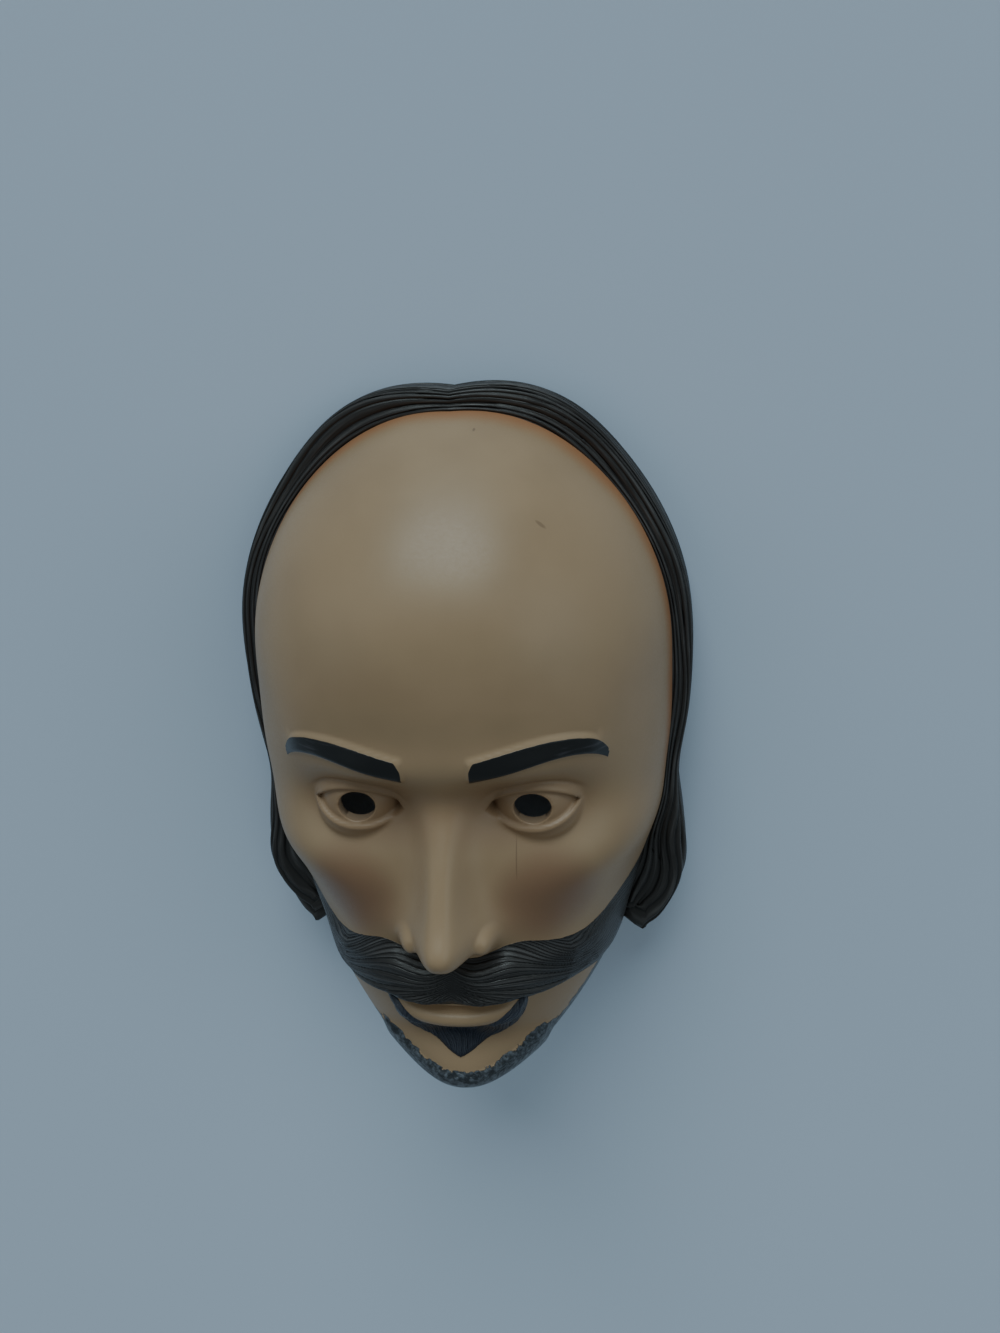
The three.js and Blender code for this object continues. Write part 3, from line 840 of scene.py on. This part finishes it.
class Signal:
    """A value in a material. Arithmetic on it adds the Math nodes that it needs."""

    def __init__(self, finish, socket):
        self.finish = finish
        self.socket = socket

    def math(self, operation, *others):
        values = dict(enumerate((self, *others)))
        return self.finish.node("ShaderNodeMath", {"operation": operation}, values)

    def __add__(self, other):
        return self.math("ADD", other)

    def __sub__(self, other):
        return self.math("SUBTRACT", other)

    def __rsub__(self, other):
        return self.math("MULTIPLY_ADD", -1, other)

    def __mul__(self, other):
        return self.math("MULTIPLY", other)

    def __truediv__(self, other):
        return self.math("DIVIDE", other)

    def __pow__(self, other):
        return self.math("POWER", other)

    def __abs__(self):
        return self.math("ABSOLUTE")

    def sine(self):
        return self.math("SINE")

    __radd__ = __add__
    __rmul__ = __mul__


class Finish:
    """One material, with the few kinds of node that the finishes are built from."""

    def __init__(self, name):
        self.material = bpy.data.materials.new(name)
        self.material.use_nodes = True
        self.tree = self.material.node_tree
        self.shader = self.tree.nodes["Principled BSDF"]

    def node(self, kind, settings=None, sockets=None, output=0):
        made = self.tree.nodes.new(kind)
        for name, value in (settings or {}).items():
            setattr(made, name, value)
        for name, value in (sockets or {}).items():
            self.feed(made.inputs[name], value)
        return Signal(self, made.outputs[output])

    def feed(self, socket, value):
        if isinstance(value, Signal):
            self.tree.links.new(value.socket, socket)
        else:
            socket.default_value = value

    def shade(self, **values):
        for name, value in values.items():
            self.feed(self.shader.inputs[name.replace("_", " ").title()], value)

    def attribute(self, name):
        return self.node("ShaderNodeAttribute", {"attribute_name": name}, output="Fac")

    def place(self):
        return self.node("ShaderNodeTexCoord", output="Object")

    def noise(self, vector, scale, detail=2, roughness=0.5):
        sockets = {"Vector": vector, "Scale": scale, "Detail": detail, "Roughness": roughness}
        return self.node("ShaderNodeTexNoise", None, sockets)

    def vector(self, x, y, z):
        return self.node("ShaderNodeCombineXYZ", None, {"X": x, "Y": y, "Z": z})

    def fade(self, value, start, stop, low=0.0, high=1.0):
        sockets = {"Value": value, "From Min": start, "From Max": stop, "To Min": low, "To Max": high}
        return self.node("ShaderNodeMapRange", {"interpolation_type": "SMOOTHSTEP"}, sockets)

    def blend(self, share, first, second):
        sockets = {0: share, 6: first, 7: second}
        return self.node("ShaderNodeMix", {"data_type": "RGBA"}, sockets, output=2)

    def bump(self, height, distance, strength=1.0):
        sockets = {"Height": height, "Distance": distance, "Strength": strength}
        return self.node("ShaderNodeBump", None, sockets)


def larger(a, b):
    return a.math("MAXIMUM", b)


def oval(across, up, half_wide, half_tall):
    """0 in the middle of an oval and 1 on its edge."""
    return (across / half_wide) ** 2 + (up / half_tall) ** 2


def skin_colour(paint, place, x, y):
    """Mottled tan with an airbrushed hair line, rosy cheeks, painted shade in the eye sockets and small
    marks.
    """
    mottle = paint.noise(place, 22, 3)
    skin = paint.blend(paint.fade(mottle, 0.3, 0.7), SKIN, SKIN_SHADE)
    near_hair = paint.attribute("hair_depth") + (mottle - 0.5) * 9
    hairline = paint.fade(near_hair, -15, -1) * paint.fade(y, -0.04, 0.02)
    skin = paint.blend(hairline * 0.55, skin, HAIRLINE_TINT)
    cheek = oval(abs(x) - 0.039, y + 0.043, 0.019, 0.021)
    skin = paint.blend(paint.fade(cheek + (mottle - 0.5), 1.7, 0, 0, 0.7), skin, BLUSH)
    # Painted shade darkens the eye sockets and the hollow between the brows
    socket = oval(abs(x) - 0.028, y + 0.003, 0.034, 0.018)
    skin = paint.blend(paint.fade(socket, 1.3, 0.1, 0, 0.5), skin, SOCKET_PAINTED_SHADE)
    for mark_x, mark_y, half_wide, half_tall, slant, share in SMALL_MARKS:
        across = x - mark_x
        mark = oval(across, y - mark_y + across * slant, half_wide, half_tall)
        skin = paint.blend(paint.fade(mark, 1, 0.2, 0, share), skin, MARK)
    return skin


def painted_shell():
    """Satin skin paint with airbrushed tints, dry-brushed grey hair paint, and painted shade in the eye
    sockets and the fine hair grooves.
    """
    paint = Finish("painted_shell")
    place = paint.place()
    x, y = (paint.node("ShaderNodeSeparateXYZ", None, {0: place}, output=axis) for axis in "XY")
    wobble = paint.noise(place, 260, 3) - 0.5
    curls = paint.noise(place, 420, 2, 0.6)
    bumps = paint.noise(place, 190, 1) - 0.5
    pebble = paint.noise(place, 900, 2)

    def coat(name, ragged, soft=0.12):
        depth = paint.attribute(name) + wobble * ragged
        return paint.fade(depth, -soft, soft)

    tuft_coat = coat("tuft_depth", 1.0)
    brow_coat = coat("brow_depth", 0.35, 0.1)
    beard_edge = paint.attribute("beard_depth") + (curls - 0.5) * 2.5 + bumps * 5
    beard_coat = paint.fade(beard_edge, -0.3, 0.3)
    combed = larger(coat("hair_depth", 0.5), coat("moustache_depth", 0.9))
    dark = larger(larger(combed, tuft_coat), larger(beard_coat, brow_coat))

    strand = paint.attribute("strand")
    along = paint.attribute("along")
    ridge = abs((strand * (3 * math.pi)).sine())
    hairs = paint.noise(paint.vector(strand * 14, along * 0.05, 0), 1, 3, 0.6)
    brushed = paint.noise(paint.vector(strand * 2.6, along * 0.03, 3), 1, 2)
    grey = paint.fade(ridge + (hairs - 0.5) * 1.1 + (brushed - 0.5) * 1.4, 0.7, 1.5)
    # Painted shade: the fine grooves between strands, where the ridge value falls to nothing, are darkened
    groove_shade = paint.fade(ridge, 0.0, 0.45, 0.8, 0.0)
    hair = paint.blend(groove_shade, paint.blend(grey, HAIR, HAIR_BRUSHED), HAIR_GROOVE_SHADE)
    hair = paint.blend(tuft_coat, hair, TUFT)
    # Lighter streaks over the outer half of each brow: partly painted sheen, partly scuffs in the paint
    streaks = paint.noise(paint.vector(x * 90, y * 700, 1), 1, 2)
    scuff_and_sheen = paint.fade(streaks, 0.55, 0.75) * paint.fade(abs(x), 0.035, 0.05, 0, 0.6)
    hair = paint.blend(brow_coat, hair, paint.blend(scuff_and_sheen, BROW, BROW_SCUFF_AND_SHEEN))
    stippled = paint.blend(paint.fade(curls, 0.4, 0.7), BEARD, BEARD_BRUSHED)
    hair = paint.blend(beard_coat, hair, stippled)

    strand_height = (hairs * 0.0003 + paint.fade(ridge, 0.0, 0.6) * 0.0003) * larger(combed, tuft_coat)
    height = pebble * 0.00002 + strand_height + (curls * 0.001) * beard_coat + dark * 0.0001
    paint.shade(
        base_color=paint.blend(dark, skin_colour(paint, place, x, y), hair),
        roughness=paint.fade(pebble, 0.2, 0.8, 0.36, 0.44) - dark * 0.06,
        normal=paint.bump(height, 1.0),
        coat_weight=brow_coat * 0.2,
        coat_roughness=0.2,
        specular_tint=WARM_SHEEN,
    )
    return paint.material


def bare_plastic():
    """The unpainted inside, moulded with a fine grain."""
    bare = Finish("bare_plastic")
    place = bare.place()
    grain = bare.noise(place, 500, 3)
    flow = bare.noise(place, 30, 2)
    bare.shade(
        base_color=bare.blend(bare.fade(flow, 0.3, 0.7), BARE, BARE_SHADE),
        roughness=bare.fade(grain, 0.2, 0.8, 0.5, 0.62),
        normal=bare.bump(grain * 0.00006, 1.0),
    )
    return bare.material


def pale_floor():
    finish = Finish("pale_floor")
    worn = finish.noise(finish.place(), 3, 3)
    finish.shade(
        base_color=finish.blend(worn, FLOOR, FLOOR_SHADE),
        roughness=finish.fade(worn, 0.2, 0.8, 0.5, 0.6),
    )
    return finish.material


# The picture

PHOTO_HEIGHT = 1333
FOCAL_PIXELS = 1001
SENSOR = 36
FLOOR_HALF = 3
VIEW_TILT = 21
VIEW_TURN = 7.4
VIEW_ROLL = -2.9
VIEW_DISTANCE = 0.431
AIM = Vector((0.0177, 0.0331, 0.034))
COOL_LIGHT = (0.63, 0.83, 1.0)


def stage_floor():
    plan = bmesh.new()
    bmesh.ops.create_grid(plan, x_segments=8, y_segments=8, size=FLOOR_HALF)
    mesh = bpy.data.meshes.new("floor")
    plan.to_mesh(mesh)
    plan.free()
    floor = bpy.data.objects.new("floor", mesh)
    bpy.context.scene.collection.objects.link(floor)
    floor.data.materials.append(pale_floor())


def turned_towards(place, aim, up):
    """A frame at a place that looks at the aim, with the given up in its own upright plane."""
    back = (place - aim).normalized()
    across = up.cross(back).normalized()
    frame_axes = Matrix((across, back.cross(across), back)).transposed().to_4x4()
    return Matrix.Translation(place) @ frame_axes


def camera_at_photo():
    tilt = math.radians(VIEW_TILT)
    turn = math.radians(VIEW_TURN)
    towards = Vector((math.sin(turn) * math.cos(tilt), math.sin(tilt), math.cos(turn) * math.cos(tilt)))
    lens = bpy.data.cameras.new("photo_view")
    lens.sensor_width = SENSOR
    lens.lens = SENSOR * FOCAL_PIXELS / PHOTO_HEIGHT
    camera = bpy.data.objects.new("photo_view", lens)
    looking = turned_towards(AIM + towards * VIEW_DISTANCE, AIM, Vector((0, 1, 0)))
    camera.matrix_world = looking @ Matrix.Rotation(math.radians(VIEW_ROLL), 4, "Z")
    bpy.context.scene.collection.objects.link(camera)
    bpy.context.scene.camera = camera


def soft_light(name, place, spread, strength):
    """A wide, far softbox: a sun whose spread, in degrees, is what the softbox fills."""
    lamp = bpy.data.lights.new(name, "SUN")
    lamp.angle = math.radians(spread)
    lamp.energy = strength
    lamp.color = COOL_LIGHT
    light = bpy.data.objects.new(name, lamp)
    light.matrix_world = turned_towards(Vector(place), Vector((0, 0, 0)), Vector((0, 1, 0)))
    bpy.context.scene.collection.objects.link(light)


def studio():
    world = bpy.data.worlds.new("studio")
    world.use_nodes = True
    world.node_tree.nodes["Background"].inputs["Color"].default_value = (*COOL_LIGHT, 1)
    world.node_tree.nodes["Background"].inputs["Strength"].default_value = 0.23
    bpy.context.scene.world = world
    soft_light("crown_light", (-0.06, 0.92, 0.39), 38, 2.0)
    soft_light("right_light", (0.8, 0.3, 0.55), 50, 0.5)
    soft_light("left_light", (-0.8, 0.3, 0.5), 50, 0.25)


shell = mask_shell()
shell.data.materials.append(painted_shell())
shell.data.materials.append(bare_plastic())
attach(shell, "root")
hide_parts("mask")
stage_floor()
camera_at_photo()
studio()
